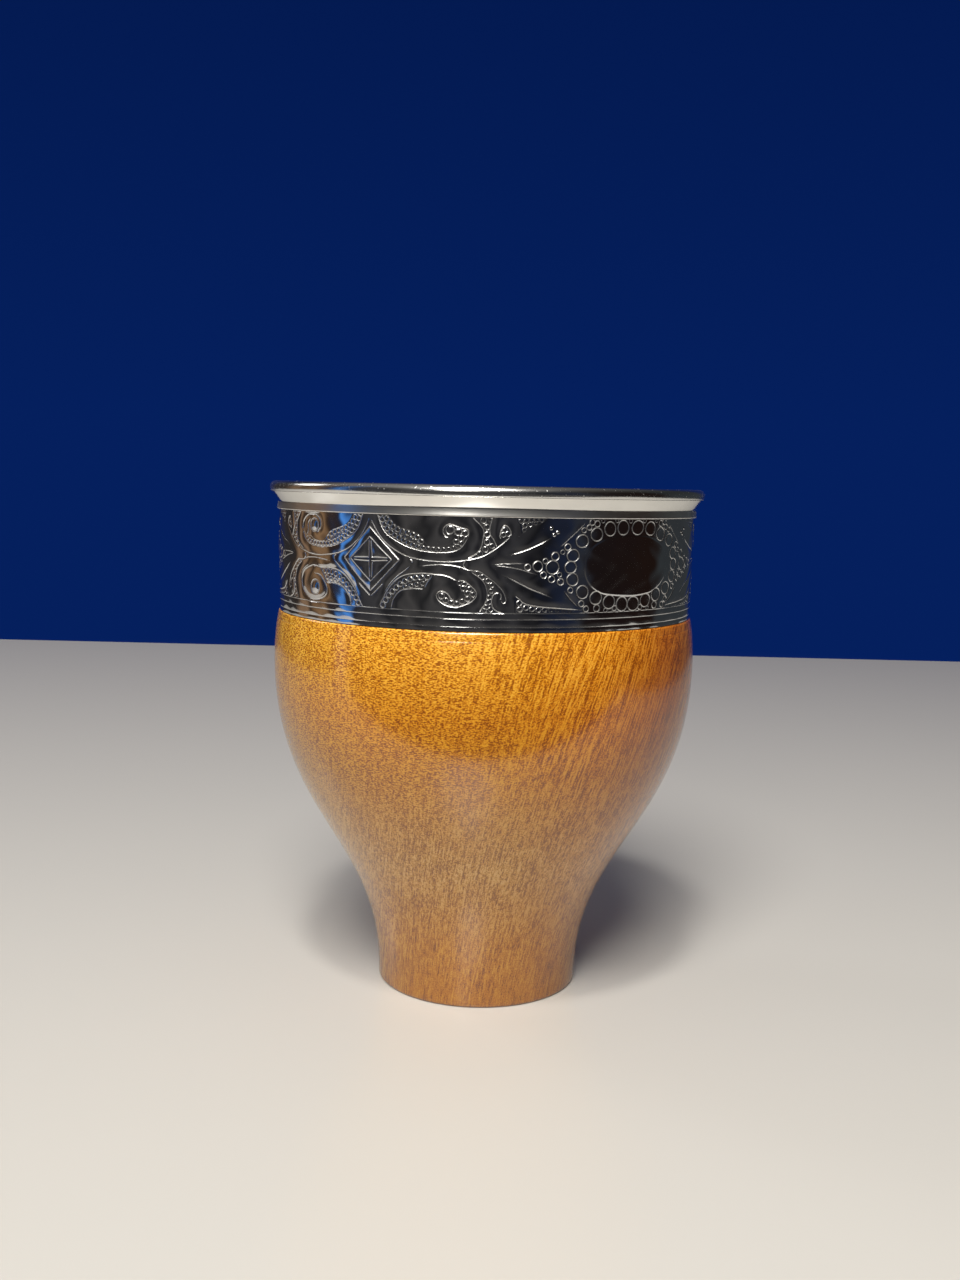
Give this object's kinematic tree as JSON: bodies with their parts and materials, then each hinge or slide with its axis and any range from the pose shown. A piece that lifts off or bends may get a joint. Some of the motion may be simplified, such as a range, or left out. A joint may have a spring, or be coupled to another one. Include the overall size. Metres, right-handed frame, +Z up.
{
  "type": "mate cup",
  "caption": "Pear-shaped turned wooden mate cup with a drawn steel liner, a rolled lip over a coved rim collar and a chased metal band round its neck.",
  "frame": {"origin": "centre of the foot's underside, on the table", "axes": "+Z up along the turning axis; the picture looks along +Y, from the -Y side"},
  "size_m": [0.082, 0.082, 0.0961],
  "materials": {
    "lacquered_wood": "fine-pored orange-brown hardwood under clear gloss lacquer",
    "liner_steel": "drawn steel, satin inside, polished on the lip",
    "polished_metal": "mirror polish with fine handling marks",
    "chased_metal": "mirror polish with chased scrolls, beads and lines",
    "adhesive": "cured clear amber adhesive"
  },
  "bodies": {
    "root": {"wood_body": "lacquered_wood", "steel_liner": "liner_steel", "rim_collar": "polished_metal", "chased_band": "chased_metal", "band_bond": "adhesive", "liner_bond": "adhesive"}
  },
  "joints": []
}
